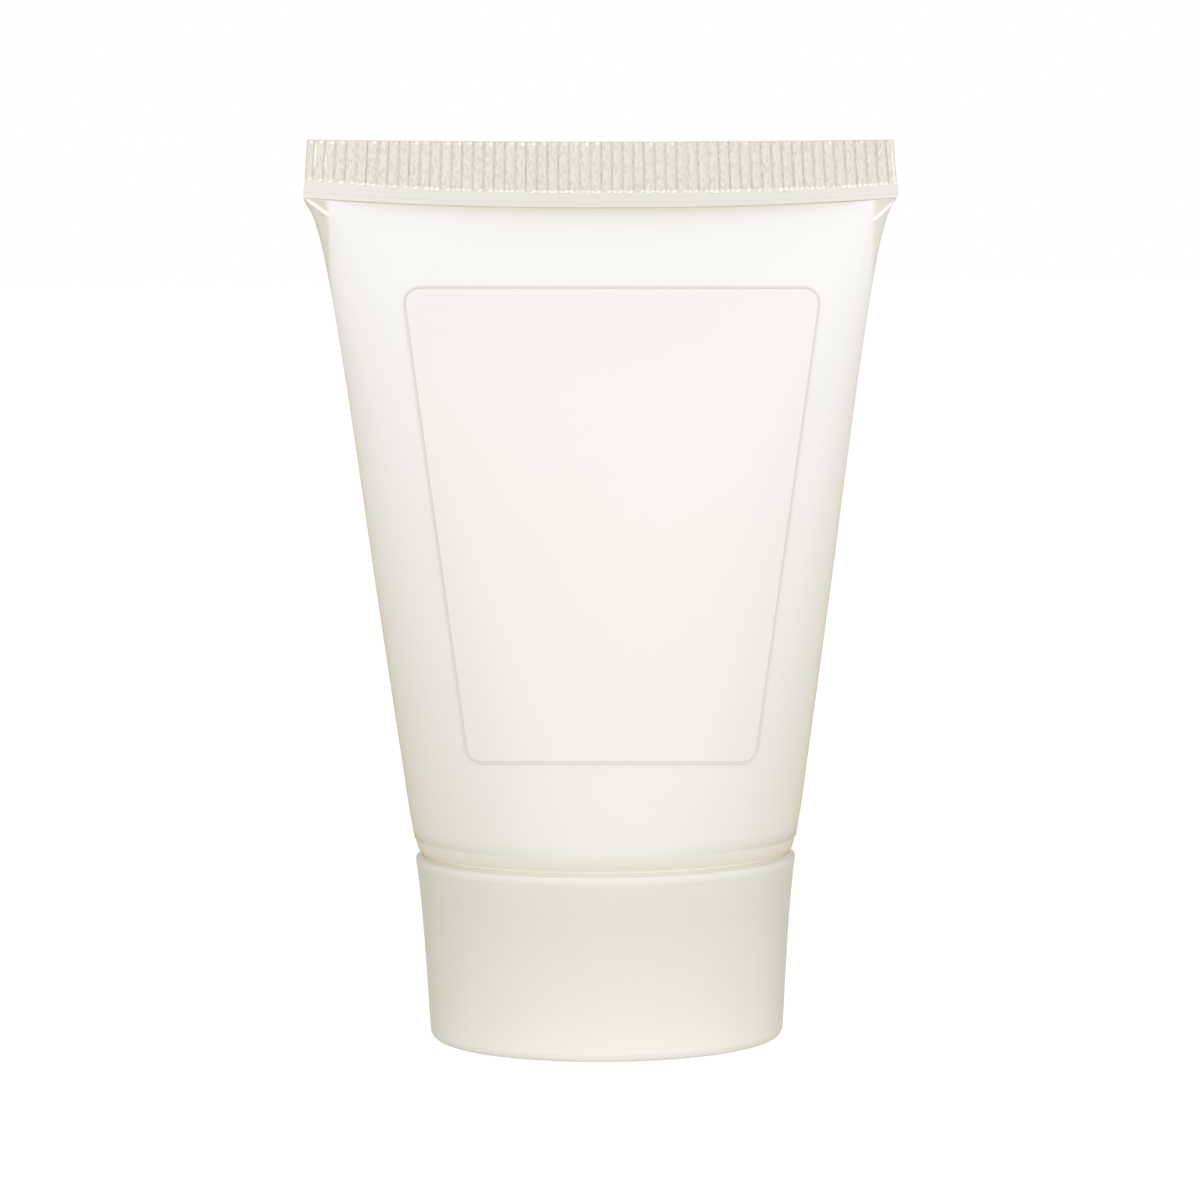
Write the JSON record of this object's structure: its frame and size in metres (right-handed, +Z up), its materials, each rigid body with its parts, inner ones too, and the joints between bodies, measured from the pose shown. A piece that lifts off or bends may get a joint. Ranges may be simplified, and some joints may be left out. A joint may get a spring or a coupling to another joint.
{
  "type": "squeeze tube with screw cap",
  "caption": "Flattened plastic squeeze tube of lotion with a ribbed crimped seam, standing on a wide tapered screw cap that turns and lifts off.",
  "frame": {"origin": "centre of the cap's flat base, on the surface that the tube stands on", "axes": "+Z up from the cap to the crimped seam, X along the seam, -Y out of the labelled front"},
  "size_m": [0.0596, 0.038, 0.0897],
  "materials": {
    "cap_plastic": "translucent natural polypropylene, smooth and softly glossy",
    "liner_foam": "white foamed polyethylene, matte",
    "head_plastic": "translucent natural polyethylene, moulded",
    "sleeve_plastic": "translucent natural polyethylene film, softly glossy",
    "lotion": "white cream with a faint warm tint",
    "label_film": "clear film with a thin hazy edge"
  },
  "bodies": {
    "cap": {"screw_cap": "cap_plastic"},
    "liner": {"cap_liner": "liner_foam"},
    "tube": {"tube_head": "head_plastic", "tube_sleeve": "sleeve_plastic", "lotion": "lotion", "front_label": "label_film"}
  },
  "joints": [
    {"name": "tube_turn", "type": "hinge", "parent": "cap", "child": "liner", "pos_m": [0, 0, 0], "axis": [0, 0, 1], "range_deg": [0, 540]},
    {"name": "tube_lift", "type": "slide", "parent": "liner", "child": "tube", "axis": [0, 0, 1], "range_m": [0, 0.03]}
  ]
}
